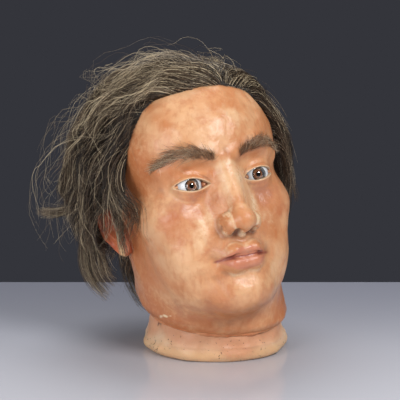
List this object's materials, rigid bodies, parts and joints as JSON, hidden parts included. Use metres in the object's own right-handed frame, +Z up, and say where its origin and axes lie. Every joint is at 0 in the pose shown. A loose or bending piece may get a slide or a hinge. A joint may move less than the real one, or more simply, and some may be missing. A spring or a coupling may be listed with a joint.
{
  "type": "wax head sculpture",
  "caption": "Life-size painted wax head with glass eyes, set brows and loose hair, joined to a flared hollow neck base that it stands on.",
  "frame": {"origin": "middle of the part's own box in X and Y, at the level of the foot's flat rim", "axes": "+Z up, -Y towards the front of the base; the head is turned towards +X, its own left"},
  "size_m": [0.2338, 0.2334, 0.2653],
  "materials": {
    "painted_wax": "satin painted wax, mottled flesh",
    "flushed_wax": "satin painted wax, red flesh",
    "bare_wax": "bare pale wax, dull gloss, small brown specks",
    "weld_wax": "rough melted wax",
    "plaster": "dry plaster",
    "white_glass": "opaque white glass, polished",
    "brown_glass": "coloured glass, polished",
    "black_glass": "black glass, polished",
    "clear_glass": "clear glass, polished",
    "brow_hair": "short coarse brown hair",
    "head_hair": "fine loose grey and brown hair"
  },
  "bodies": {
    "root": {"head_casting": "painted_wax", "right_ear": "flushed_wax", "left_ear": "flushed_wax", "neck_base": "bare_wax", "seam_bead": "weld_wax", "right_eye_cup": "plaster", "left_eye_cup": "plaster", "right_eye_globe": "white_glass", "left_eye_globe": "white_glass", "right_iris": "brown_glass", "left_iris": "brown_glass", "right_pupil": "black_glass", "left_pupil": "black_glass", "right_cornea": "clear_glass", "left_cornea": "clear_glass", "right_eyebrow": "brow_hair", "left_eyebrow": "brow_hair", "hair_crown": "head_hair", "hair_front": "head_hair", "hair_left_side": "head_hair", "hair_left_back": "head_hair", "hair_right_back": "head_hair", "hair_right_side": "head_hair", "right_temple_lock": "head_hair", "right_ear_lock": "head_hair", "right_long_lock": "head_hair", "right_tuft": "head_hair", "right_nape_lock": "head_hair", "left_nape_lock": "head_hair", "left_ear_lock": "head_hair"}
  },
  "joints": []
}
